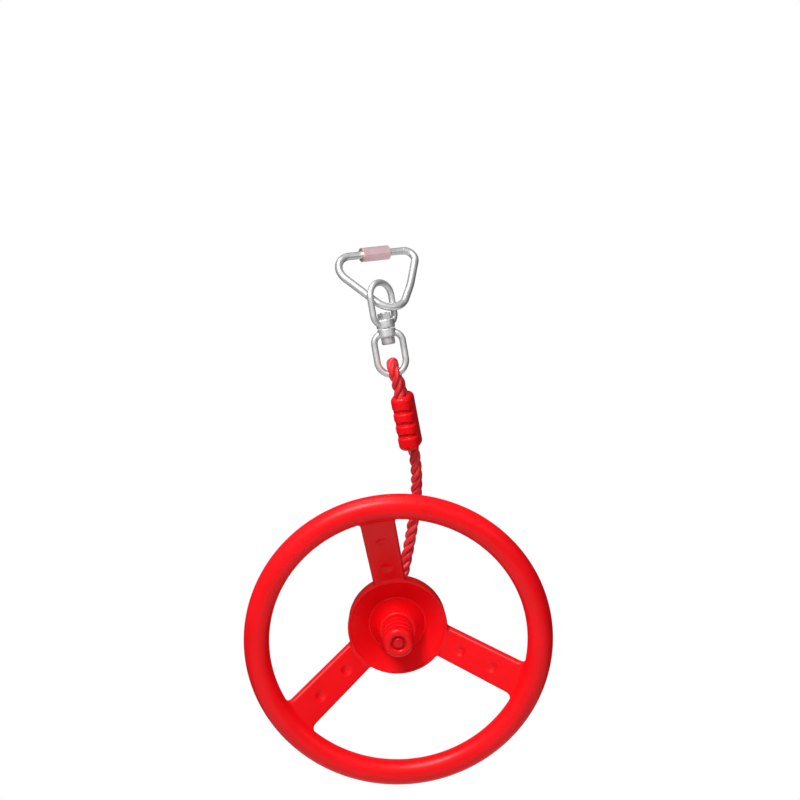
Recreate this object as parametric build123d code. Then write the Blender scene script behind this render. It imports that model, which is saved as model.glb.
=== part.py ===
from build123d import *
import math
import os

os.makedirs("parts", exist_ok=True)

# A hand wheel for a hanging obstacle line (ninja line / monkey bars), in mm.
# +Z is up, +X is to the right of somebody facing the wheel's grip side, -Y is
# towards that person. The origin is the hang point: the middle of the triangular
# quick link's long side, which a strap, sling or hook carries.
# From the top down: triangular quick link with a hexagonal sleeve nut, eye-and-eye
# swivel, laid rope with an eye round the swivel's lower eye and a moulded clamp,
# three-spoked wheel with a cupped hub, ribbed stopper on the rope's lower end.

# ---------------------------------------------------------------- driving sizes
# quick link
LINK_WIRE_R = 3.1
LINK_SIDE = 93.1           # long side, corner to corner before rounding
LINK_HEIGHT = 66.1
LINK_BASE_R = 13.8         # centreline radius of the upper corner at the fixed end
LINK_RIGHT = 41.3          # the other upper corner, nearer the middle and tighter, so
LINK_RIGHT_R = 7.8         # that the wire stays straight as far as the nut runs
LINK_APEX_R = 16.3         # centreline radius of the lower corner
LINK_YAW, LINK_PITCH, LINK_ROLL = 25.5, -33.8, -2.5
LINK_GAP_L, LINK_GAP_R = -6.2, 2.6   # opening that the sleeve nut closes
SLEEVE_MID = 2.8
SLEEVE_LEN = 24.2
SLEEVE_AF = 11.2
THREAD_R = 2.95

# swivel
CHAIN_Y = -27.7            # plane that the hanging line lies in
SW_TOP = (3.7, CHAIN_Y, -21.2)
SW_DIR = (0.0985, 0.0, -0.9951)
EYE_BAR_R = 2.65
EYE_HALF = 11.6            # half width between bar centres
UPPER_EYE_TURN = 42.5      # upper eye turned about the swivel's axis
BOSS_R = 7.5
BOLT_R = 3.0
BOLT_BORE_R = 3.08

# rope
ROPE_R = 4.75

# wheel
WHEEL_Y = CHAIN_Y - 11.0
WHEEL_C = (0.0, WHEEL_Y, -313.1)
WHEEL_TILT = 19.3
RIM_R = 114.7
RIM_TUBE_R = 10.35
SPOKE_PHASE = 5.8          # first spoke, turned left from straight up
SPOKE_T = 9.0
HUB_BACK = -50.0
HUB_LIP = -28.0
HUB_R = 40.5
HUB_HOLE_R = 5.5
BOSS_TOP = -22.0

# stopper
STOP_R = 12.9
STOP_BASE = BOSS_TOP + 0.3
STOP_LEN = 31.2

# clamp
CLAMP_W, CLAMP_D, CLAMP_L = 17.0, 24.0, 46.0
CLAMP_TURN = 14.0                # the clamp is turned so that its right spine comes forward


def save(shape, name, label=None):
    shape.label = name
    export_step(shape, "parts/" + name + ".step")
    print(name, "volume", round(shape.volume, 1), "solids", len(shape.solids()))


def vec(t):
    return Vector(*t)


# ---------------------------------------------------------------- quick link
# The link's plane: local x along the long side, local y up the link, origin at the
# long side's middle.
link_rot = Rotation(0, 0, 0)


def turn(v, axis, deg):
    return Vector(*v).rotate(Axis((0, 0, 0), axis), deg)


def link_dir(v):
    a = turn(v, (1, 0, 0), LINK_PITCH)
    b = turn(tuple(a), (0, 0, 1), LINK_YAW)
    return turn(tuple(b), (0, 1, 0), LINK_ROLL)


link_x = link_dir((1, 0, 0))
link_up = link_dir((0, 0, 1))
link_n = link_x.cross(link_up)
link_plane = Plane(origin=(0, 0, 0), x_dir=link_x, z_dir=link_n)
base_half = LINK_SIDE / 2
apex = (0, -LINK_HEIGHT)


def link_pt(x, y):
    return link_plane.from_local_coords(Vector(x, y, 0))


# the wire: from one thread end round the link to the other, the gap under the sleeve
gap_l, gap_r = LINK_GAP_L, LINK_GAP_R
bulge = (base_half * (1 - 34 / LINK_HEIGHT), -34)
link_path = FilletPolyline(
    link_pt(gap_r, 0),
    link_pt(LINK_RIGHT, 0),
    link_pt(*bulge),
    link_pt(*apex),
    link_pt(-base_half, 0),
    link_pt(gap_l, 0),
    radius=[LINK_RIGHT_R, 60, LINK_APEX_R, LINK_BASE_R],
)
start = Plane(origin=link_pt(gap_r, 0), z_dir=link_x)
link_bar = sweep(start * Circle(LINK_WIRE_R), path=link_path)


def along_x(x0, x1, r):
    return Solid.make_cylinder(
        r, x1 - x0, Plane(origin=link_pt(x0, 0), z_dir=link_x)
    )


# turned-down threaded stretches either side of the gap; the right-hand one is long
# enough for the sleeve nut to be run back clear of the gap, all of it before the bend
SLEEVE_TRAVEL = 12.4
sl0, sl1 = SLEEVE_MID - SLEEVE_LEN / 2, SLEEVE_MID + SLEEVE_LEN / 2
THREAD_L0 = sl0 - 0.4
THREAD_R1 = sl1 + SLEEVE_TRAVEL + 0.5
link_bar = link_bar - (along_x(gap_r - 1, THREAD_R1, 6) - along_x(gap_r - 2, THREAD_R1 + 1, THREAD_R))
link_bar = link_bar - (along_x(THREAD_L0, gap_l + 1, 6) - along_x(THREAD_L0 - 1, gap_l + 2, THREAD_R))
save(link_bar, "link_bar")

sleeve_plane = Plane(origin=link_pt(sl0, 0), x_dir=link_up, z_dir=link_x)
hexa = extrude(
    sleeve_plane
    * RegularPolygon(radius=SLEEVE_AF / 2, side_count=6, major_radius=False, rotation=8),
    amount=SLEEVE_LEN,
)
cone_r = SLEEVE_AF / math.sqrt(3) + 0.02
chamfered = Solid.make_cylinder(cone_r, SLEEVE_LEN, sleeve_plane)
chamfered = chamfer(chamfered.edges().filter_by(GeomType.CIRCLE), 0.9)
sleeve = hexa & chamfered
sleeve = sleeve - along_x(sl0 - 1, sl1 + 1, THREAD_R + 0.07)
save(sleeve, "link_sleeve_nut")

# ---------------------------------------------------------------- swivel
sw_d = vec(SW_DIR).normalized()
sw_p = Vector(-sw_d.Z, 0, sw_d.X).normalized()      # to the right, square to the axis


def sw_point(a):
    return vec(SW_TOP) + sw_d * a


def eye_plane(turn_deg, a0=0.0):
    x = sw_p.rotate(Axis((0, 0, 0), tuple(sw_d)), -turn_deg)
    if x.dot(Vector(0, 1, 0)) < 0 and turn_deg:
        x = sw_p.rotate(Axis((0, 0, 0), tuple(sw_d)), turn_deg)
    return Plane(origin=sw_point(a0), x_dir=x, z_dir=x.cross(sw_d))


def eye(plane, a_arc, a_end, flip):
    """Bent bar with both ends run into the boss. a_arc: arc centre, a_end: where the
    bar enters the boss."""

    def pt(b, a):
        return plane.from_local_coords(Vector(b, a, 0))

    s = -1 if flip else 1
    arc = ThreePointArc(
        pt(-EYE_HALF, a_arc), pt(0, a_arc - s * EYE_HALF), pt(EYE_HALF, a_arc)
    )
    left = FilletPolyline(pt(-EYE_HALF, a_arc), pt(-EYE_HALF, a_end), pt(-1.5, a_end), radius=8.5)
    right = FilletPolyline(pt(EYE_HALF, a_arc), pt(EYE_HALF, a_end), pt(1.5, a_end), radius=8.5)
    parts = []
    for path, at, d in (
        (arc, pt(-EYE_HALF, a_arc), sw_d),
        (left, pt(-EYE_HALF, a_arc), sw_d),
        (right, pt(EYE_HALF, a_arc), sw_d),
    ):
        parts.append(sweep(Plane(origin=at, z_dir=d) * Circle(EYE_BAR_R), path=path))
    return parts[0] + parts[1] + parts[2]


def sw_cyl(r, a0, a1):
    return Solid.make_cylinder(r, a1 - a0, Plane(origin=sw_point(a0), z_dir=sw_d))


def rounded_cyl(r, a0, a1, f):
    c = sw_cyl(r, a0, a1)
    return fillet(c.edges().filter_by(GeomType.CIRCLE), f)


UP_BOSS = (33.0, 40.1)
LO_BOSS = (40.5, 47.6)
SW_LEN = 80.6

up_plane = eye_plane(UPPER_EYE_TURN)
upper = eye(up_plane, EYE_BAR_R + EYE_HALF, 36.9, False)
upper = upper + rounded_cyl(BOSS_R, *UP_BOSS, 1.0)
# the bar's ends stop at the boss's faces
upper = upper - sw_cyl(BOLT_BORE_R, 20, 60)
save(upper, "swivel_upper_eye")

lo_plane = eye_plane(0)
lower = eye(lo_plane, SW_LEN - EYE_BAR_R - EYE_HALF, 43.7, True)
lower = lower + rounded_cyl(BOSS_R, *LO_BOSS, 1.0)
lower = lower - sw_cyl(BOLT_R + 0.03, 20, 60)
save(lower, "swivel_lower_eye")

head = sw_cyl(5.5, LO_BOSS[1] + 0.02, LO_BOSS[1] + 5.9)
head = fillet(head.edges().filter_by(GeomType.CIRCLE).sort_by(Axis.Z)[0], 1.6)
shank = sw_cyl(BOLT_R, 27.3, LO_BOSS[1] + 1.0)
bolt = head + shank
save(bolt, "swivel_bolt")

nut_plane = Plane(origin=sw_point(27.9), x_dir=up_plane.x_dir, z_dir=sw_d)
nut = extrude(nut_plane * RegularPolygon(radius=5.0, side_count=6, major_radius=False, rotation=20), amount=4.8)
nut_round = Solid.make_cylinder(5.79, 4.8, nut_plane)
nut_round = chamfer(nut_round.edges().filter_by(GeomType.CIRCLE), 0.6)
nut = (nut & nut_round) - sw_cyl(BOLT_R + 0.02, 20, 40)
save(nut, "swivel_nut")

# ---------------------------------------------------------------- rope eye and clamp
# g: up the rope, h: towards the grip side, e: to the right; they lean with the rope
BAR_C = sw_point(SW_LEN - EYE_BAR_R)


def frame_from(lean_left, lean_back):
    g = Vector(-math.tan(math.radians(lean_left)), -math.tan(math.radians(lean_back)), 1).normalized()
    e = (Vector(1, 0, 0) - g * g.X).normalized()
    h = e.cross(g)
    return e, h, g


LOOP_LEAN, CLAMP_LEAN, BACK_LEAN = 11.5, 6.7, 16.0
LOOP_R = 8.3
LEG = 4.95                       # half the distance between the two legs in the clamp
ec, hc, gc = frame_from(CLAMP_LEAN, BACK_LEAN)
el, hl, gl = frame_from(LOOP_LEAN, BACK_LEAN)
ta = math.radians(CLAMP_TURN)
ec, hc = ec * math.cos(ta) + hc * math.sin(ta), hc * math.cos(ta) - ec * math.sin(ta)
CLAMP_C = Vector(18.9, CHAIN_Y + 10.9, -137.0)
loop_c = BAR_C + Vector(0.9, 0, 0)


def clamp_pt(e, h, g):
    return CLAMP_C + ec * e + hc * h + gc * g


def loop_pt(h, g):
    return loop_c + hl * h + gl * g


half_l = CLAMP_L / 2
main_end = clamp_pt(0, -LEG, -half_l)
tail_end = clamp_pt(0, LEG, -half_l + 9)
eye_path = FilletPolyline(
    main_end,
    clamp_pt(0, -LEG, half_l + 2.0),
    loop_pt(-LOOP_R, -1.5),
    loop_pt(-LOOP_R, LOOP_R + 0.7),
    loop_pt(LOOP_R, LOOP_R + 0.7),
    loop_pt(LOOP_R, -1.5),
    clamp_pt(0, LEG, half_l + 2.0),
    tail_end,
    radius=[16, 16, 8.0, 8.0, 16, 16],
)
rope_eye = sweep(Plane(origin=main_end, z_dir=gc) * Circle(ROPE_R), path=eye_path)
save(rope_eye, "rope_eye")
print("rope eye length", round(eye_path.length, 1), "tube / section", round(rope_eye.volume / (math.pi * ROPE_R ** 2), 1))

clamp_plane = Plane(origin=clamp_pt(0, 0, -half_l), x_dir=ec, z_dir=gc)
block = extrude(clamp_plane * RectangleRounded(CLAMP_W, CLAMP_D, 7.2), amount=CLAMP_L)
ends = [e for e in block.edges() if abs(e.center().sub(CLAMP_C).dot(gc)) > half_l - 0.5]
block = fillet(ends, 4.5)
# three grooves on the front and the back leave four pads; they stop short of the
# smooth spines down both sides
inner = extrude(
    Plane(origin=clamp_pt(0, 0, -half_l), x_dir=ec, z_dir=gc) * RectangleRounded(CLAMP_W - 3.0, CLAMP_D - 3.0, 5.7),
    amount=CLAMP_L,
)
for i in (-1, 0, 1):
    # on the grip side the grooves wrap both corners, on the other side they are short
    front = Plane(origin=clamp_pt(0, 4.9 + 6, i * 10.2), x_dir=ec, z_dir=gc) * Box(CLAMP_W + 4, 12, 3.2)
    back = Plane(origin=clamp_pt(0, -CLAMP_D / 2, i * 10.2), x_dir=ec, z_dir=gc) * Box(10.0, 3.4, 3.2)
    block = block - (front - inner) - back
for s, low in ((-1, -half_l - 1), (1, -half_l + 9)):
    block = block - Solid.make_cylinder(
        ROPE_R + 0.02, CLAMP_L + 4, Plane(origin=clamp_pt(0, s * LEG, low), z_dir=gc)
    )
save(block, "rope_clamp")

# ---------------------------------------------------------------- wheel
ct, st = math.cos(math.radians(WHEEL_TILT)), math.sin(math.radians(WHEEL_TILT))
wn = Vector(0, -ct, -st)
wheel_plane = Plane(origin=WHEEL_C, x_dir=(1, 0, 0), z_dir=wn)


def wheel_pt(z, r=0.0, deg=0.0):
    a = math.radians(deg)
    return wheel_plane.from_local_coords(Vector(-r * math.sin(a), r * math.cos(a), z))


def placed(shape):
    return wheel_plane * shape


rim_l = Torus(RIM_R, RIM_TUBE_R)

# hub profile, radius and height along the wheel's axis
with BuildPart() as hub_b:
    with BuildSketch(Plane.XZ) as prof:
        with BuildLine():
            Polyline(
                (HUB_HOLE_R, HUB_BACK),
                (33.5, HUB_BACK),
            )
            ThreePointArc((33.5, HUB_BACK), (37.4, HUB_BACK + 1.9), (39.4, HUB_BACK + 5.8))
            Line((39.4, HUB_BACK + 5.8), (HUB_R, HUB_LIP - 1.1))
            ThreePointArc((HUB_R, HUB_LIP - 1.1), (HUB_R - 1.1, HUB_LIP), (HUB_R - 2.1, HUB_LIP - 0.7))
            Line((HUB_R - 2.1, HUB_LIP - 0.7), (23.7, -37.8))
            ThreePointArc((23.7, -37.8), (22.5, -38.1), (21.7, -37.1))
            Line((21.7, -37.1), (15.2, BOSS_TOP - 1.6))
            ThreePointArc((15.2, BOSS_TOP - 1.6), (14.4, BOSS_TOP - 0.4), (13.0, BOSS_TOP))
            Line((13.0, BOSS_TOP), (HUB_HOLE_R, BOSS_TOP))
            Line((HUB_HOLE_R, BOSS_TOP), (HUB_HOLE_R, HUB_BACK))
        make_face()
    revolve(axis=Axis.Z)
hub_l = hub_b.part
hub_full = hub_b.part
# the moulding is cored out behind the trough and the boss, ribs left at the rim
with BuildPart() as core_b:
    with BuildSketch(Plane.XZ):
        with BuildLine():
            Polyline(
                (11.0, HUB_BACK - 1),
                (31.0, HUB_BACK - 1),
                (31.0, HUB_BACK + 4.0),
                (24.0, HUB_BACK + 7.5),
                (20.5, HUB_BACK + 7.5),
                (14.0, BOSS_TOP - 5.5),
                (11.0, BOSS_TOP - 5.5),
                (11.0, HUB_BACK - 1),
            )
        make_face()
    revolve(axis=Axis.Z)
hub_l = hub_l - core_b.part


# spoke: dished from the hub to the rim, flat face, rounded edges, flared into the rim
def spoke(angle):
    r0, z0, r1, z1 = 34.0, -36.5, 107.0, -2.5
    slope = math.atan2(z1 - z0, r1 - r0)
    ln = math.hypot(r1 - r0, z1 - z0)
    f = ln - 5.2
    with BuildSketch() as s:
        with BuildLine():
            Line((-13.1, 0), (13.1, 0))
            Line((13.1, 0), (14.1, f - 4))
            ThreePointArc((14.1, f - 4), (14.6, f - 1.6), (16.0, f))
            Line((16.0, f), (17.0, ln + 2))
            Line((17.0, ln + 2), (-17.0, ln + 2))
            Line((-17.0, ln + 2), (-16.0, f))
            ThreePointArc((-16.0, f), (-14.6, f - 1.6), (-14.1, f - 4))
            Line((-14.1, f - 4), (-13.1, 0))
        make_face()
    body = extrude(s.sketch, amount=SPOKE_T)
    longs = [
        e
        for e in body.edges()
        if abs(e.center().X) > 11 and abs(e.center().Z - SPOKE_T / 2) > SPOKE_T / 2 - 0.1
        and 5 < e.center().Y < ln - 3
    ]
    body = fillet(longs, 2.2)
    # two round dimples in the face
    for r in (56.0, 83.0):
        y = (r - r0) / math.cos(slope)
        body = body - Pos(0, y, SPOKE_T) * Cylinder(4.0, 3.0)
    body = Pos(0, 0, -SPOKE_T / 2) * body
    body = Pos(0, r0, z0) * (Rot(X=math.degrees(slope)) * body)
    body = body - Torus(RIM_R, RIM_TUBE_R) - hub_full
    body = body - Pos(0, 0, HUB_LIP + 15) * Cylinder(HUB_R - 0.1, 30)
    return Rot(Z=angle) * body


save(placed(rim_l), "wheel_rim")
save(placed(hub_l), "wheel_hub")
for i in range(3):
    sp = spoke(SPOKE_PHASE + 120 * i)
    solids = sorted(sp.solids(), key=lambda q: -q.volume)
    print("spoke pieces", [round(q.volume, 1) for q in solids])
    save(placed(solids[0]), "wheel_spoke_%d" % (i + 1))

# ---------------------------------------------------------------- rope through hub, stopper
REC = 3.2                                 # depth of the stopper's end recess
stop_end = STOP_BASE + STOP_LEN
core_l = Pos(0, 0, (HUB_BACK + stop_end - REC) / 2) * Cylinder(ROPE_R, stop_end - REC - HUB_BACK)
save(placed(core_l), "rope_through_hub")

with BuildPart() as st_b:
    with BuildSketch(Plane.XZ):
        b = STOP_BASE
        with BuildLine():
            Polyline(
                (ROPE_R + 0.02, b),
                (11.4, b),
                (12.4, b + 1.0),
                (STOP_R, b + 12.0),
                (11.7, b + 12.6),
                (11.7, b + 14.0),
                (12.8, b + 14.7),
                (12.8, b + 20.4),
                (11.7, b + 21.0),
                (11.7, b + 22.4),
                (12.7, b + 23.1),
                (12.5, stop_end - 3.6),
            )
            ThreePointArc((12.5, stop_end - 3.6), (11.3, stop_end - 1.1), (8.7, stop_end))
            ThreePointArc((8.7, stop_end), (6.4, stop_end - 0.9), (5.5, stop_end - REC))
            Polyline((5.5, stop_end - REC), (ROPE_R + 0.02, stop_end - REC), (ROPE_R + 0.02, b))
        make_face()
    revolve(axis=Axis.Z)
save(placed(st_b.part), "stopper")

kz = stop_end - REC + 0.02
knob = Pos(0, 0, kz + 1.3) * Cylinder(4.7, 2.6)
knob = fillet(knob.edges().filter_by(GeomType.CIRCLE).sort_by(Axis.Z)[-1], 2.1)
save(placed(knob), "rope_melted_end")

# ---------------------------------------------------------------- free rope run
# control points from the clamp's lower end to the hub's back
hub_exit = wheel_pt(HUB_BACK)
cy = CHAIN_Y
start_dir = gc * -1
RUN = [
    tuple(main_end),
    tuple(main_end + start_dir * 16.0),
    (23.2, cy + 41.0, -195.5),
    (18.4, cy + 56.0, -221.0),
    (11.5, cy + 68.2, -248.0),
    (4.6, cy + 69.4, -271.6),
    tuple(hub_exit - wn * 22.0),
    tuple(hub_exit),
]
pts = [Vector(*p) for p in RUN]
radii = []
for i in range(1, len(pts) - 1):
    u = (pts[i - 1] - pts[i])
    w = (pts[i + 1] - pts[i])
    ang = math.acos(max(-1, min(1, u.normalized().dot(w.normalized()))))
    turn_half = (math.pi - ang) / 2
    radii.append(0.45 * min(u.length, w.length) / math.tan(turn_half))
    print("rope corner", i, "turn", round(math.degrees(2 * turn_half), 1), "radius", round(radii[-1], 1), "runs", round(u.length, 1), round(w.length, 1))
run_path = FilletPolyline(*pts, radius=radii)
rope_run = sweep(Plane(origin=pts[0], z_dir=start_dir) * Circle(ROPE_R), path=run_path)
save(rope_run, "rope_run")
print("rope run length", round(run_path.length, 1), "tube / section", round(rope_run.volume / (math.pi * ROPE_R ** 2), 1))
print("hub exit", tuple(round(c, 2) for c in hub_exit), "wheel axis", tuple(round(c, 4) for c in wn))
print("eye contact bar centre", tuple(round(c, 2) for c in BAR_C), "sw_p", tuple(round(c, 4) for c in sw_p))
for p in RUN:
    print("run point", tuple(round(c, 2) for c in p))
print("loop points", [tuple(round(c, 2) for c in q) for q in (main_end, clamp_pt(0, -LEG, half_l + 2.0), loop_pt(-LOOP_R, -1.5), loop_pt(-LOOP_R, LOOP_R + 0.7), loop_pt(LOOP_R, LOOP_R + 0.7), loop_pt(LOOP_R, -1.5), clamp_pt(0, LEG, half_l + 2.0), tail_end)])
print("clamp axes", [tuple(round(c, 4) for c in q) for q in (ec, hc, gc)], "centre", tuple(round(c, 2) for c in CLAMP_C))
print("link axes", [tuple(round(c, 4) for c in q) for q in (link_x, link_up, link_n)])
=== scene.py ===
import math

import bmesh
import bpy
import numpy as np
from mathutils import Matrix, Vector


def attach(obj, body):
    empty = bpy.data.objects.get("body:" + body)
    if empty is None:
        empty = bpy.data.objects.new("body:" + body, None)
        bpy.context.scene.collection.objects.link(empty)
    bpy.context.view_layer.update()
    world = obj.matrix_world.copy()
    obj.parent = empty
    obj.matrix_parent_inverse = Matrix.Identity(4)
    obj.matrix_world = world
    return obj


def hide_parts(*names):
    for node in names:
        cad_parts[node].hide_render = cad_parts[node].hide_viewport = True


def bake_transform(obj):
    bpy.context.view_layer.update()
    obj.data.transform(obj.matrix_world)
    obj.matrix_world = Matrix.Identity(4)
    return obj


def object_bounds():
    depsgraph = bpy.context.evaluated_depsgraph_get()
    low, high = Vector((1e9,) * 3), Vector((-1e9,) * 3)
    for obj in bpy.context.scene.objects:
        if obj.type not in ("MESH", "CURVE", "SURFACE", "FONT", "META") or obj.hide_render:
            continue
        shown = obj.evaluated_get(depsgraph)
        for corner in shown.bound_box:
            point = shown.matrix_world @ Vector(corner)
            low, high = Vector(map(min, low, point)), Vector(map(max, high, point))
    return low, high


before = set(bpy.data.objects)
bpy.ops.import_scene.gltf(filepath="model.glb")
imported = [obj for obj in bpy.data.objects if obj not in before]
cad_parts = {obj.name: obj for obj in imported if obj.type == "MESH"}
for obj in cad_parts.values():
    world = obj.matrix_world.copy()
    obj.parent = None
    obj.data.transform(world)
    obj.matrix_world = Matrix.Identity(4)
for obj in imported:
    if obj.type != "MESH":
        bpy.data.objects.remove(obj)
cad_lo, cad_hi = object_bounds()
MM = 0.001

# ------------------------------------------------------------------ camera
# square on to the X-Z plane, turned 4 degrees in its own plane
RIGHT = Vector((math.cos(math.radians(4)), 0, -math.sin(math.radians(4))))
UP = Vector((math.sin(math.radians(4)), 0, math.cos(math.radians(4))))
LOOK = Vector((0, 1, 0))
CAM_DIST = 7.0
WIDTH_SEEN = 0.6472
camera_data = bpy.data.cameras.new("camera")
camera = bpy.data.objects.new("camera", camera_data)
bpy.context.scene.collection.objects.link(camera)
camera_data.sensor_width = 36
camera_data.lens = 36 * CAM_DIST / WIDTH_SEEN
camera_data.clip_start, camera_data.clip_end = 0.1, 60
aim = Vector((0.0148, -0.03, -0.1199))
camera.matrix_world = Matrix.Translation(aim - LOOK * CAM_DIST) @ Matrix(
    (
        (RIGHT.x, UP.x, -LOOK.x, 0),
        (RIGHT.y, UP.y, -LOOK.y, 0),
        (RIGHT.z, UP.z, -LOOK.z, 0),
        (0, 0, 0, 1),
    )
)
bpy.context.scene.camera = camera
bpy.context.scene.view_settings.view_transform = "Standard"
bpy.context.scene.view_settings.look = "None"


# ------------------------------------------------------------------ helpers
def link_object(name, mesh, mat):
    o = bpy.data.objects.new(name, mesh)
    bpy.context.scene.collection.objects.link(o)
    if mat is not None:
        o.data.materials.append(mat)
    return o


def mesh_from(name, verts, faces, normals=None):
    me = bpy.data.meshes.new(name)
    me.from_pydata([tuple(v) for v in verts], [], [tuple(f) for f in faces])
    me.update()
    me.polygons.foreach_set("use_smooth", [True] * len(me.polygons))
    if normals is not None:
        me.normals_split_custom_set_from_vertices([tuple(n) for n in normals])
    return me


# ------------------------------------------------------------------ materials
class Nodes:
    def __init__(self, name):
        self.mat = bpy.data.materials.new(name)
        self.mat.use_nodes = True
        self.t = self.mat.node_tree
        self.t.nodes.clear()
        self.out = self.t.nodes.new("ShaderNodeOutputMaterial")
        self.bsdf = self.t.nodes.new("ShaderNodeBsdfPrincipled")
        self.t.links.new(self.bsdf.outputs[0], self.out.inputs["Surface"])

    def node(self, kind, **inputs):
        n = self.t.nodes.new(kind)
        for k, v in inputs.items():
            n.inputs[k.replace("_", " ")].default_value = v
        return n

    def link(self, a, b):
        self.t.links.new(a, b)

    def coords(self, which="Object"):
        return self.node("ShaderNodeTexCoord").outputs[which]

    def attr(self, name):
        n = self.node("ShaderNodeAttribute")
        n.attribute_name = name
        return n.outputs["Vector"]

    def scaled(self, src, scale):
        m = self.node("ShaderNodeMapping")
        m.inputs["Scale"].default_value = scale
        self.link(src, m.inputs["Vector"])
        return m.outputs["Vector"]

    def noise(self, vec, scale, detail=2.0, rough=0.5):
        n = self.node("ShaderNodeTexNoise", Scale=scale, Detail=detail, Roughness=rough)
        self.link(vec, n.inputs["Vector"])
        return n.outputs["Fac"]

    def ramp(self, fac, stops):
        r = self.node("ShaderNodeValToRGB")
        e = r.color_ramp.elements
        e[0].position, e[0].color = stops[0][0], (*stops[0][1], 1)
        e[1].position, e[1].color = stops[-1][0], (*stops[-1][1], 1)
        for p, c in stops[1:-1]:
            x = e.new(p)
            x.color = (*c, 1)
        self.link(fac, r.inputs["Fac"])
        return r.outputs["Color"]

    def spread(self, fac, a0, a1, b0, b1):
        m = self.node("ShaderNodeMapRange")
        m.inputs["From Min"].default_value, m.inputs["From Max"].default_value = a0, a1
        m.inputs["To Min"].default_value, m.inputs["To Max"].default_value = b0, b1
        self.link(fac, m.inputs["Value"])
        return m.outputs["Result"]

    def bump(self, height, strength, distance, prior=None):
        b = self.node("ShaderNodeBump", Strength=strength, Distance=distance)
        self.link(height, b.inputs["Height"])
        if prior is not None:
            self.link(prior, b.inputs["Normal"])
        return b.outputs["Normal"]


def plastic(name, low, mid, high, rough=(0.30, 0.38), grain=1.0):
    """Injection-moulded plastic: faint flow mottling, fine spark-eroded grain, light handling wear."""
    n = Nodes(name)
    c = n.coords()
    flow = n.noise(n.scaled(c, (1, 1, 1.4)), 16.0, 3.0, 0.55)
    n.link(n.ramp(flow, [(0.28, low), (0.50, mid), (0.72, high)]), n.bsdf.inputs["Base Color"])
    wear = n.noise(c, 45.0, 3.0, 0.6)
    n.link(n.spread(wear, 0.25, 0.75, *rough), n.bsdf.inputs["Roughness"])
    fine = n.noise(c, 1500.0, 2.0, 0.6)
    wave = n.noise(c, 42.0, 1.0, 0.4)
    first = n.bump(wave, 0.05, 0.0012)
    n.link(n.bump(fine, 0.08 * grain, 0.00012, first), n.bsdf.inputs["Normal"])
    n.bsdf.inputs["Specular IOR Level"].default_value = 0.22
    n.bsdf.inputs["IOR"].default_value = 1.49
    return n.mat


def rope_fibre(name):
    """Laid rope: bright and dark filaments along each strand's yarns, with a soft sheen."""
    n = Nodes(name)
    yarn = n.attr("yarn")
    fine = n.noise(n.scaled(yarn, (1, 1, 0.035)), 2600.0, 3.0, 0.6)
    coarse = n.noise(n.scaled(yarn, (1, 1, 0.10)), 620.0, 2.0, 0.5)
    mix = n.node("ShaderNodeMath")
    mix.operation = "ADD"
    n.link(fine, mix.inputs[0])
    n.link(coarse, mix.inputs[1])
    half = n.spread(mix.outputs[0], 0.62, 1.38, 0.0, 1.0)
    n.link(
        n.ramp(half, [(0.0, (0.34, 0.002, 0.006)), (0.40, (0.68, 0.006, 0.014)), (0.70, (0.90, 0.045, 0.052)), (1.0, (0.98, 0.22, 0.21))]),
        n.bsdf.inputs["Base Color"],
    )
    n.link(n.spread(coarse, 0.3, 0.7, 0.36, 0.55), n.bsdf.inputs["Roughness"])
    b = n.bump(coarse, 0.45, 0.0006)
    n.link(n.bump(fine, 0.55, 0.00030, b), n.bsdf.inputs["Normal"])
    n.bsdf.inputs["Sheen Weight"].default_value = 0.08
    n.bsdf.inputs["Sheen Roughness"].default_value = 0.4
    n.bsdf.inputs["Sheen Tint"].default_value = (1.0, 0.45, 0.45, 1)
    n.bsdf.inputs["Specular IOR Level"].default_value = 0.35
    return n.mat


def zinc(name, dark, mid, light, rough=(0.30, 0.42), speck=1.0):
    """Bright zinc plating over drawn wire: patchy grey, soft orange peel and shallow pits."""
    n = Nodes(name)
    c = n.coords()
    patch = n.noise(c, 120.0, 3.0, 0.55)
    n.link(n.ramp(patch, [(0.30, dark), (0.50, mid), (0.70, light)]), n.bsdf.inputs["Base Color"])
    smear = n.noise(n.scaled(c, (1, 1, 0.4)), 260.0, 3.0, 0.6)
    n.link(n.spread(smear, 0.3, 0.7, *rough), n.bsdf.inputs["Roughness"])
    peel = n.noise(c, 900.0, 2.0, 0.5)
    pits = n.noise(c, 260.0, 2.0, 0.5)
    b = n.bump(pits, 0.10 * speck, 0.0005)
    n.link(n.bump(peel, 0.06 * speck, 0.00012, b), n.bsdf.inputs["Normal"])
    n.bsdf.inputs["Metallic"].default_value = 0.82
    return n.mat


def brushed(name, axis):
    """Turned sleeve nut in a rosy tint: fine lines along its length, a little uneven."""
    n = Nodes(name)
    c = n.coords()
    m = n.node("ShaderNodeMapping")
    z = Vector(axis).normalized()
    m.vector_type = "TEXTURE"
    m.inputs["Rotation"].default_value = z.to_track_quat("Z", "Y").to_euler()
    n.link(c, m.inputs["Vector"])
    lines = n.noise(n.scaled(m.outputs["Vector"], (1, 1, 0.02)), 1300.0, 2.0, 0.5)
    patch = n.noise(c, 110.0, 2.0, 0.5)
    n.link(n.ramp(patch, [(0.25, (0.86, 0.56, 0.61)), (0.52, (0.92, 0.64, 0.68)), (0.78, (0.96, 0.73, 0.76))]), n.bsdf.inputs["Base Color"])
    n.link(n.spread(lines, 0.3, 0.7, 0.36, 0.48), n.bsdf.inputs["Roughness"])
    n.link(n.bump(lines, 0.05, 0.00006), n.bsdf.inputs["Normal"])
    n.bsdf.inputs["Metallic"].default_value = 0.9
    return n.mat


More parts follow.
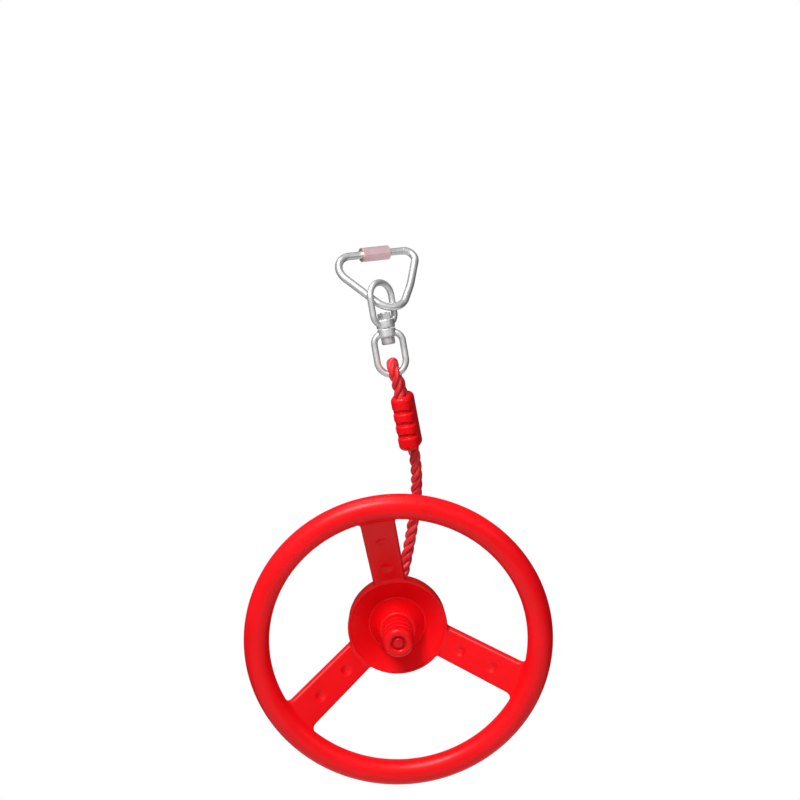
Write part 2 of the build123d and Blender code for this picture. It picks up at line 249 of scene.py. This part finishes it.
RED = plastic("red_moulded_plastic", (0.80, 0.0012, 0.0040), (0.86, 0.0018, 0.0055), (0.92, 0.0030, 0.0075))
RED_CLAMP = plastic("red_clamp_plastic", (0.76, 0.0016, 0.0045), (0.82, 0.0025, 0.0065), (0.88, 0.0040, 0.0085), (0.24, 0.32))
RED_STOP = plastic("red_stopper_plastic", (0.74, 0.0012, 0.0040), (0.80, 0.0018, 0.0055), (0.86, 0.0030, 0.0075), (0.20, 0.28))
# melted rope end: its red is darkened as painted shade of the stopper's recess it sits in; the low roughness is
# the fused rope's own gloss
RED_MELT_PAINTED_SHADE = plastic("red_melted_rope_painted_shade", (0.52, 0.0010, 0.0030), (0.62, 0.0016, 0.0050), (0.72, 0.0050, 0.0085), (0.10, 0.20))
ROPE = rope_fibre("red_rope_fibre")
ZINC_WIRE = zinc("zinc_wire", (0.66, 0.66, 0.67), (0.77, 0.765, 0.765), (0.86, 0.85, 0.85), (0.30, 0.42), 0.7)
ZINC_CAST = zinc("zinc_forged", (0.60, 0.60, 0.61), (0.72, 0.715, 0.715), (0.82, 0.81, 0.81), (0.34, 0.48), 1.2)
ZINC_BOLT = zinc("zinc_bolt", (0.50, 0.50, 0.51), (0.62, 0.615, 0.615), (0.74, 0.73, 0.73), (0.28, 0.42), 1.2)
LINK_X = Vector((0.9017, 0.4305, 0.0394))
ROSY = brushed("rosy_sleeve_steel", LINK_X)


# ------------------------------------------------------------------ rope
# the route's points, clamp to hub, as in the design
RUN = [
    (0.02267, -0.00592, -0.15752),
    (0.02447, -0.00154, -0.17280),
    (0.02320, 0.01330, -0.19550),
    (0.01840, 0.02830, -0.22100),
    (0.01150, 0.04050, -0.24800),
    (0.00460, 0.04170, -0.27160),
    (0.00000, 0.02925, -0.28930),
    (0.00000, 0.00849, -0.29657),
]
EYE = [
    (0.02267, -0.00592, -0.15752),
    (0.01728, -0.01907, -0.11167),
    (0.01257, -0.01932, -0.09790),
    (0.01055, -0.02216, -0.08799),
    (0.01055, -0.03811, -0.09257),
    (0.01257, -0.03527, -0.10247),
    (0.01490, -0.02823, -0.11457),
    (0.01928, -0.01755, -0.15183),
]
WC = Vector((0, -0.0387, -0.3131))
WN = Vector((0, -math.cos(math.radians(19.3)), -math.sin(math.radians(19.3))))
WU = Vector((0, -math.sin(math.radians(19.3)), math.cos(math.radians(19.3))))
THROUGH = [tuple(WC + WN * z) for z in (-0.050, -0.022, 0.0063)]
LAY = 0.0262                      # length of one turn of the strands


def nurbs_points(name, points, resolution=36):
    """The points of the smooth line that these control points give."""
    data = bpy.data.curves.new(name, "CURVE")
    data.dimensions = "3D"
    s = data.splines.new("NURBS")
    s.points.add(len(points) - 1)
    for p, c in zip(s.points, points):
        p.co = (*c, 1)
    s.order_u = 3
    s.use_endpoint_u = True
    data.resolution_u = resolution
    s.resolution_u = resolution
    o = bpy.data.objects.new(name, data)
    bpy.context.scene.collection.objects.link(o)
    bpy.context.view_layer.update()
    me = bpy.data.meshes.new_from_object(o.evaluated_get(bpy.context.evaluated_depsgraph_get()))
    pts = np.array([v.co for v in me.vertices], float)
    bpy.data.objects.remove(o)
    bpy.data.meshes.remove(me)
    keep = [0]
    for i in range(1, len(pts)):
        if np.linalg.norm(pts[i] - pts[keep[-1]]) > 1e-6:
            keep.append(i)
    return pts[keep]


def carried_frames(pts, normal):
    """Tangents and a side direction that is carried along without twist."""
    tan = np.gradient(pts, axis=0)
    tan /= np.linalg.norm(tan, axis=1)[:, None]
    nor = np.zeros_like(pts)
    v = normal - tan[0] * (normal @ tan[0])
    nor[0] = v / np.linalg.norm(v)
    for i in range(1, len(pts)):
        step = pts[i] - pts[i - 1]
        c1 = step @ step
        r = nor[i - 1] - (2 / c1) * (step @ nor[i - 1]) * step
        t = tan[i - 1] - (2 / c1) * (step @ tan[i - 1]) * step
        w = tan[i] - t
        c2 = w @ w
        nor[i] = r if c2 < 1e-18 else r - (2 / c2) * (w @ r) * w
        nor[i] -= tan[i] * (nor[i] @ tan[i])
        nor[i] /= np.linalg.norm(nor[i])
    return tan, nor


def laid_rope(name, pts, normal, phase, sides=18, close=(True, True)):
    """Three strands laid right-handed round the line. Gives the mesh and what the next length starts with."""
    tan, nor = carried_frames(pts, normal)
    bi = np.cross(tan, nor)
    step = np.r_[0, np.linalg.norm(np.diff(pts, axis=0), axis=1)]
    s = np.cumsum(step)
    turn = phase + 2 * math.pi * s / LAY
    helix, strand = 0.00228, 0.00247
    verts, faces, yarn = [], [], []
    for k in range(3):
        a = turn + k * 2 * math.pi / 3
        out = nor * np.cos(a)[:, None] + bi * np.sin(a)[:, None]
        mid = pts + out * helix
        st = np.gradient(mid, axis=0)
        st /= np.linalg.norm(st, axis=1)[:, None]
        side = np.cross(st, out)
        side /= np.linalg.norm(side, axis=1)[:, None]
        rad = np.cross(side, st)
        base = len(verts)
        for i in range(len(pts)):
            for j in range(sides):
                b = 2 * math.pi * j / sides
                # a strand is a little flatter where it presses on the others
                squeeze = 1.0 - 0.10 * max(0.0, -math.cos(b)) ** 2
                rr = strand * squeeze
                verts.append(mid[i] + rad[i] * (rr * math.cos(b)) + side[i] * (rr * math.sin(b)))
                # yarns run against the lay, so they lie nearly along the rope
                c = b + 2 * math.pi * s[i] / 0.034
                yarn.append((strand * math.cos(c), strand * math.sin(c), s[i] + k * 0.4))
        for i in range(len(pts) - 1):
            for j in range(sides):
                j1 = (j + 1) % sides
                p, q = base + i * sides, base + (i + 1) * sides
                faces.append((p + j, p + j1, q + j1, q + j))
        if close[0]:
            faces.append(tuple(base + j for j in range(sides))[::-1])
        if close[1]:
            faces.append(tuple(base + (len(pts) - 1) * sides + j for j in range(sides)))
    me = mesh_from(name, verts, faces)
    at = me.attributes.new("yarn", "FLOAT_VECTOR", "POINT")
    at.data.foreach_set("vector", np.array(yarn, np.float32).ravel())
    return me, nor[-1], turn[-1]


run_pts = nurbs_points("rope_run_line", RUN)
eye_pts = nurbs_points("rope_eye_line", EYE)
in_pts = nurbs_points("rope_in_hub_line", THROUGH)

start_side = np.array((0.35, -0.94, 0.0))
run_mesh, run_side, run_turn = laid_rope("rope_run_strands", run_pts, start_side, 0.9)
rope_run = link_object("rope_run_strands", run_mesh, ROPE)
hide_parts("rope_run")
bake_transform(rope_run)

# the same rope above the clamp's lower end: up through the clamp, round the swivel's bar and back
tan0, nor0 = carried_frames(run_pts, start_side)
eye_mesh, _, _ = laid_rope("rope_eye_strands", eye_pts, start_side, 0.9 + 0.0)
rope_eye = link_object("rope_eye_strands", eye_mesh, ROPE)
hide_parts("rope_eye")
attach(rope_eye, "rope")

in_mesh, _, _ = laid_rope("rope_in_hub_strands", in_pts, run_side, run_turn)
rope_in = link_object("rope_in_hub_strands", in_mesh, ROPE)
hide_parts("rope_through_hub")
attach(rope_in, "rope_tail")


# ------------------------------------------------------------------ solids from distance fields
def smin(a, b, k):
    h = np.clip(k - np.abs(a - b), 0, None) / k
    return np.minimum(a, b) - h * h * k * 0.25


def smax(a, b, k):
    return -smin(-a, -b, k)


def poly_distance(px, py, poly):
    """Signed distance to a closed polygon, negative inside."""
    poly = np.asarray(poly, float)
    d2 = np.full(px.shape, 1e18)
    inside = np.zeros(px.shape, bool)
    n = len(poly)
    for i in range(n):
        ax, ay = poly[i]
        bx, by = poly[(i + 1) % n]
        ex, ey = bx - ax, by - ay
        ll = ex * ex + ey * ey
        if ll < 1e-12:
            continue
        wx, wy = px - ax, py - ay
        t = np.clip((wx * ex + wy * ey) / ll, 0, 1)
        dx, dy = wx - ex * t, wy - ey * t
        d2 = np.minimum(d2, dx * dx + dy * dy)
        hit = ((ay > py) != (by > py)) & (px < (bx - ax) * (py - ay) / (by - ay + (by == ay) * 1e-12) + ax)
        inside ^= hit
    d = np.sqrt(d2)
    return np.where(inside, -d, d)


def arc3(a, b, c, n=7):
    """Points on the arc through three points, the first left out."""
    a, b, c = (np.array(p, float) for p in (a, b, c))
    m = np.array([[b[0] - a[0], b[1] - a[1]], [c[0] - a[0], c[1] - a[1]]]) * 2
    v = np.array([b @ b - a @ a, c @ c - a @ a])
    o = np.linalg.solve(m, v)
    r = np.linalg.norm(a - o)
    t0, t1, t2 = (math.atan2(p[1] - o[1], p[0] - o[0]) for p in (a, b, c))

    def unwrap(t, ref):
        while t - ref > math.pi:
            t -= 2 * math.pi
        while t - ref < -math.pi:
            t += 2 * math.pi
        return t

    t1 = unwrap(t1, t0)
    t2 = unwrap(t2, t1)
    return [tuple(o + r * np.array((math.cos(t), math.sin(t)))) for t in np.linspace(t0, t2, n + 1)[1:]]


def surface(f, lo, hi, h, steps=7):
    """A quad mesh of f = 0 on a grid of spacing h, each point then moved onto the surface, with exact normals."""
    ax = [np.arange(lo[i], hi[i] + h, h) for i in range(3)]
    nx, ny, nz = (len(a) for a in ax)
    F = np.empty((nx, ny, nz), np.float32)
    Y, Z = np.meshgrid(ax[1], ax[2], indexing="ij")
    for i0 in range(0, nx, 16):
        xs = ax[0][i0:i0 + 16]
        X = np.broadcast_to(xs[:, None, None], (len(xs), ny, nz))
        F[i0:i0 + 16] = f(
            X.ravel(), np.broadcast_to(Y, X.shape).ravel(), np.broadcast_to(Z, X.shape).ravel()
        ).reshape(X.shape)
    ins = F < 0
    cnt = np.zeros((nx - 1, ny - 1, nz - 1), np.int8)
    for a in (0, 1):
        for b in (0, 1):
            for c in (0, 1):
                cnt += ins[a:nx - 1 + a, b:ny - 1 + b, c:nz - 1 + c]
    mask = (cnt > 0) & (cnt < 8)
    idx = np.full(mask.shape, -1, np.int64)
    cells = np.argwhere(mask)
    idx[mask] = np.arange(len(cells))
    pos = np.zeros((len(cells), 3))
    num = np.zeros(len(cells))
    i, j, k = cells.T
    for axis in range(3):
        o1, o2 = [q for q in range(3) if q != axis]
        for u in (0, 1):
            for v in (0, 1):
                off = [0, 0, 0]
                off[o1], off[o2] = u, v
                a = (i + off[0], j + off[1], k + off[2])
                off[axis] = 1
                b = (i + off[0], j + off[1], k + off[2])
                fa, fb = F[a].astype(float), F[b].astype(float)
                cross = (fa < 0) != (fb < 0)
                t = np.where(cross, fa / np.where(cross, fa - fb, 1), 0)
                p = np.stack([a[0], a[1], a[2]], 1).astype(float)
                p[:, axis] += t
                pos += np.where(cross[:, None], p, 0)
                num += cross
    pos = pos / num[:, None] * h + np.array(lo)
    quads = []

    def add(change, low_inside, a, b, c, d):
        q = np.stack([a[change], b[change], c[change], d[change]], 1)
        flip = ~low_inside[change]
        q[flip] = q[flip][:, ::-1]
        quads.append(q)

    ch = ins[:-1, 1:-1, 1:-1] != ins[1:, 1:-1, 1:-1]
    add(ch, ins[:-1, 1:-1, 1:-1], idx[:, :-1, :-1], idx[:, 1:, :-1], idx[:, 1:, 1:], idx[:, :-1, 1:])
    ch = ins[1:-1, :-1, 1:-1] != ins[1:-1, 1:, 1:-1]
    add(ch, ins[1:-1, :-1, 1:-1], idx[:-1, :, :-1], idx[:-1, :, 1:], idx[1:, :, 1:], idx[1:, :, :-1])
    ch = ins[1:-1, 1:-1, :-1] != ins[1:-1, 1:-1, 1:]
    add(ch, ins[1:-1, 1:-1, :-1], idx[:-1, :-1, :], idx[1:, :-1, :], idx[1:, 1:, :], idx[:-1, 1:, :])
    quads = np.concatenate(quads)
    e = 0.05

    def grad(p):
        g = np.empty_like(p)
        for q in range(3):
            d = np.zeros(3)
            d[q] = e
            g[:, q] = (f(*(p + d).T) - f(*(p - d).T)) / (2 * e)
        return g

    edges = np.concatenate([quads[:, [0, 1]], quads[:, [1, 2]], quads[:, [2, 3]], quads[:, [3, 0]]])
    deg = np.bincount(edges[:, 0], minlength=len(pos)) + np.bincount(edges[:, 1], minlength=len(pos))
    for step in range(steps):
        if 0 < step < steps - 1:
            # even out the points, then put them back on the surface
            mean = np.zeros_like(pos)
            for q in range(3):
                mean[:, q] = np.bincount(edges[:, 0], pos[edges[:, 1], q], len(pos)) + np.bincount(edges[:, 1], pos[edges[:, 0], q], len(pos))
            pos = pos * 0.45 + mean / np.maximum(deg, 1)[:, None] * 0.55
        g = grad(pos)
        gl = (g * g).sum(1)
        move = g * (f(*pos.T) / np.maximum(gl, 0.05))[:, None]
        ml = np.linalg.norm(move, axis=1)
        move *= np.minimum(1, 0.5 * h / np.maximum(ml, 1e-9))[:, None]
        pos = pos - move
    g = grad(pos)
    nor = g / np.maximum(np.linalg.norm(g, axis=1), 1e-9)[:, None]
    return pos, quads, nor


def to_world(pts, nor, origin, ex, ey, ez):
    m = np.array([ex, ey, ez], float)
    return np.array(origin) + (pts * MM) @ m, nor @ m


# ------------------------------------------------------------------ the wheel, one moulding
RIM_R, TUBE_R = 114.7, 10.35
profile = [(5.5, -50), (11, -50), (11, -27.5), (14, -27.5), (20.5, -42.5), (24, -42.5), (31, -46), (31, -50), (33.5, -50)]
profile += arc3((33.5, -50), (37.4, -48.1), (39.4, -44.2))
profile += [(40.5, -29.1)]
profile += arc3((40.5, -29.1), (39.4, -28.0), (38.4, -28.7))
profile += [(23.7, -37.8)]
profile += arc3((23.7, -37.8), (22.5, -38.1), (21.7, -37.1))
profile += [(15.2, -23.6)]
profile += arc3((15.2, -23.6), (14.4, -22.4), (13.0, -22.0))
profile += [(5.5, -22.0)]
R0, Z0, R1, Z1 = 34.0, -36.5, 107.0, -2.5
SLOPE = math.atan2(Z1 - Z0, R1 - R0)
SPOKE_L = math.hypot(R1 - R0, Z1 - Z0)
SPOKE_T = 9.0
SPOKES = [math.radians(a) for a in (5.8, 125.8, 245.8)]


def wheel_field(x, y, z):
    r = np.sqrt(x * x + y * y)
    rim = np.sqrt((r - RIM_R) ** 2 + z * z) - TUBE_R
    hub = np.maximum(r - 40.5, 1.0)
    near = r < 46
    if near.any():
        hub[near] = poly_distance(r[near], z[near], profile)
    arms = np.full(x.shape, 1e3)
    band = (r > 30) & (r < 118) & (z < 14)
    if band.any():
        xb, yb, zb, rb = x[band], y[band], z[band], r[band]
        best = np.full(xb.shape, 1e3)
        for a in SPOKES:
            ca, sa = math.cos(a), math.sin(a)
            sx = xb * ca + yb * sa
            sy = -xb * sa + yb * ca
            u = (sy - R0) * math.cos(SLOPE) + (zb - Z0) * math.sin(SLOPE)
            w = -(sy - R0) * math.sin(SLOPE) + (zb - Z0) * math.cos(SLOPE)
            t = np.clip((u - 71.3) / 4.0, 0, 1.6)
            half = 13.1 + np.clip(u, 0, 71.3) * (1.0 / 71.3) + 0.8 * t * t
            # the face is very slightly crowned, the edges rounded
            q1 = np.abs(sx) - half + 2.4
            q2 = np.abs(w) - SPOKE_T / 2 + 2.4 + 0.0016 * sx * sx
            d = np.sqrt(np.maximum(q1, 0) ** 2 + np.maximum(q2, 0) ** 2) + np.minimum(np.maximum(q1, q2), 0) - 2.4
            d = np.maximum(d, -u - 8)
            d = np.maximum(d, u - SPOKE_L - 3)
            for rr in (56.0, 83.0):
                uu = (rr - R0) / math.cos(SLOPE)
                # a round dent, 1.7 deep and 8.6 across
                ball = np.sqrt(sx * sx + (u - uu) ** 2 + (w - SPOKE_T / 2 - 4.6) ** 2) - 6.3
                d = smax(d, -ball, 0.9)
            best = np.minimum(best, np.where(sy > 0, d, 1e3))
        best = np.maximum(best, 39.3 - rb)
        arms[band] = best
    d = smin(rim, arms, 3.2)
    return smin(d, hub, 2.6)


H = 0.95
pts, quads, nor = surface(wheel_field, (-127, -127, -52), (127, 127, 13), H)
wp, wnor = to_world(pts, nor, WC, (1, 0, 0), WU, WN)
wheel = link_object("wheel_moulding", mesh_from("wheel_moulding", wp, quads, wnor), RED)
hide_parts("wheel_rim", "wheel_hub", "wheel_spoke_1", "wheel_spoke_2", "wheel_spoke_3")
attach(wheel, "wheel")

# ------------------------------------------------------------------ the clamp
CC = Vector((0.0189, -0.0168, -0.1370))
EC, HC, GC = (0.9642, -0.2626, 0.0380), (-0.2404, -0.9252, -0.2935), (-0.1122, -0.2739, 0.9552)
CW, CD, CL = 17.0, 24.0, 46.0
LEG = 4.95


def clamp_field(e, h, g):
    q1, q2 = np.abs(e) - CW / 2 + 7.2, np.abs(h) - CD / 2 + 7.2
    d2 = np.sqrt(np.maximum(q1, 0) ** 2 + np.maximum(q2, 0) ** 2) + np.minimum(np.maximum(q1, q2), 0) - 7.2
    ring = d2 + 1.6                      # the grooves' floor
    a, b = d2 + 4.5, np.abs(g) - CL / 2 + 4.5
    d = np.sqrt(np.maximum(a, 0) ** 2 + np.maximum(b, 0) ** 2) + np.minimum(np.maximum(a, b), 0) - 4.5
    # four pads with three grooves between them, wrapping the corners on the grip side
    for i in (-1, 0, 1):
        gg = np.abs(g - i * 10.2) - 1.25
        front = np.maximum(gg, 5.0 - h)
        back = np.maximum(np.maximum(gg, np.abs(e) - 3.8), h + 6.0)
        cut = np.maximum(np.minimum(front, back), -ring)
        d = smax(d, -cut, 2.2)
    for s, low in ((-1, -CL / 2 - 1), (1, -CL / 2 + 9)):
        bore = np.maximum(np.sqrt(e * e + (h - s * LEG) ** 2) - 4.78, low - g)
        d = smax(d, -bore, 0.7)
    return d


pts, quads, nor = surface(clamp_field, (-13, -15, -25), (13, 15, 25), 0.5)
cp, cn = to_world(pts, nor, CC, EC, HC, GC)
quads = quads[:, ::-1]               # these axes are left-handed
clamp = link_object("clamp_moulding", mesh_from("clamp_moulding", cp, quads, cn), RED_CLAMP)
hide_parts("rope_clamp")
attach(clamp, "rope")

# ------------------------------------------------------------------ materials on the carried-over parts
for node, mat in (
    ("link_bar", ZINC_WIRE),
    ("link_sleeve_nut", ROSY),
    ("swivel_upper_eye", ZINC_CAST),
    ("swivel_lower_eye", ZINC_CAST),
    ("swivel_bolt", ZINC_BOLT),
    ("swivel_nut", ZINC_BOLT),
    ("stopper", RED_STOP),
    ("rope_melted_end", RED_MELT_PAINTED_SHADE),
):
    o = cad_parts[node]
    if not len(o.material_slots):
        o.data.materials.append(mat)
    for sl in o.material_slots:
        sl.material = mat

# ------------------------------------------------------------------ floor, light
bm = bmesh.new()
bmesh.ops.create_circle(bm, cap_ends=True, segments=96, radius=1.6)
fm = bpy.data.meshes.new("floor")
bm.to_mesh(fm)
bm.free()
nf = Nodes("pale_floor")
nf.link(nf.ramp(nf.noise(nf.coords(), 6.0, 4.0, 0.6), [(0.3, (0.88, 0.88, 0.88)), (0.7, (0.92, 0.92, 0.92))]), nf.bsdf.inputs["Base Color"])
nf.bsdf.inputs["Roughness"].default_value = 0.8
floor = link_object("floor", fm, nf.mat)
floor.location = (0, 0, cad_lo.z - 0.85)


def area(name, loc, target, size, power, color=(1, 1, 1)):
    data = bpy.data.lights.new(name, "AREA")
    data.shape = "RECTANGLE"
    data.size, data.size_y = size
    data.energy = power
    data.color = color
    o = bpy.data.objects.new(name, data)
    bpy.context.scene.collection.objects.link(o)
    o.location = loc
    o.rotation_mode = "QUATERNION"
    o.rotation_quaternion = (Vector(target) - Vector(loc)).to_track_quat("-Z", "Y")
    return o


T = (0.0, -0.03, -0.2)
area("key", (-0.55, -1.55, 1.25), T, (0.8, 0.6), 44)
area("top", (-0.25, -0.30, 1.5), T, (1.0, 0.7), 7)
area("fill", (1.4, -1.5, 0.3), T, (0.9, 0.9), 2.0)

world = bpy.data.worlds.new("world")
bpy.context.scene.world = world
world.use_nodes = True
wt = world.node_tree
wt.nodes.clear()
wo = wt.nodes.new("ShaderNodeOutputWorld")
tc = wt.nodes.new("ShaderNodeTexCoord")
dt = wt.nodes.new("ShaderNodeVectorMath")
dt.operation = "DOT_PRODUCT"
dt.inputs[1].default_value = Vector((-0.30, -0.72, 0.62)).normalized()
wt.links.new(tc.outputs["Generated"], dt.inputs[0])
rm = wt.nodes.new("ShaderNodeMapRange")
rm.inputs["From Min"].default_value, rm.inputs["From Max"].default_value = -1, 1
wt.links.new(dt.outputs["Value"], rm.inputs["Value"])
rp = wt.nodes.new("ShaderNodeValToRGB")
el = rp.color_ramp.elements
el[0].position, el[0].color = 0.30, (0.06, 0.06, 0.065, 1)
el[1].position, el[1].color = 0.92, (0.85, 0.85, 0.86, 1)
mid = el.new(0.62)
mid.color = (0.34, 0.34, 0.35, 1)
wt.links.new(rm.outputs["Result"], rp.inputs["Fac"])
soft = wt.nodes.new("ShaderNodeBackground")
soft.inputs["Strength"].default_value = 0.75
wt.links.new(rp.outputs["Color"], soft.inputs["Color"])
white = wt.nodes.new("ShaderNodeBackground")
white.inputs["Color"].default_value = (1, 1, 1, 1)
white.inputs["Strength"].default_value = 1.0
lp = wt.nodes.new("ShaderNodeLightPath")
mx = wt.nodes.new("ShaderNodeMixShader")
wt.links.new(lp.outputs["Is Camera Ray"], mx.inputs[0])
wt.links.new(soft.outputs[0], mx.inputs[1])
wt.links.new(white.outputs[0], mx.inputs[2])
wt.links.new(mx.outputs[0], wo.inputs["Surface"])
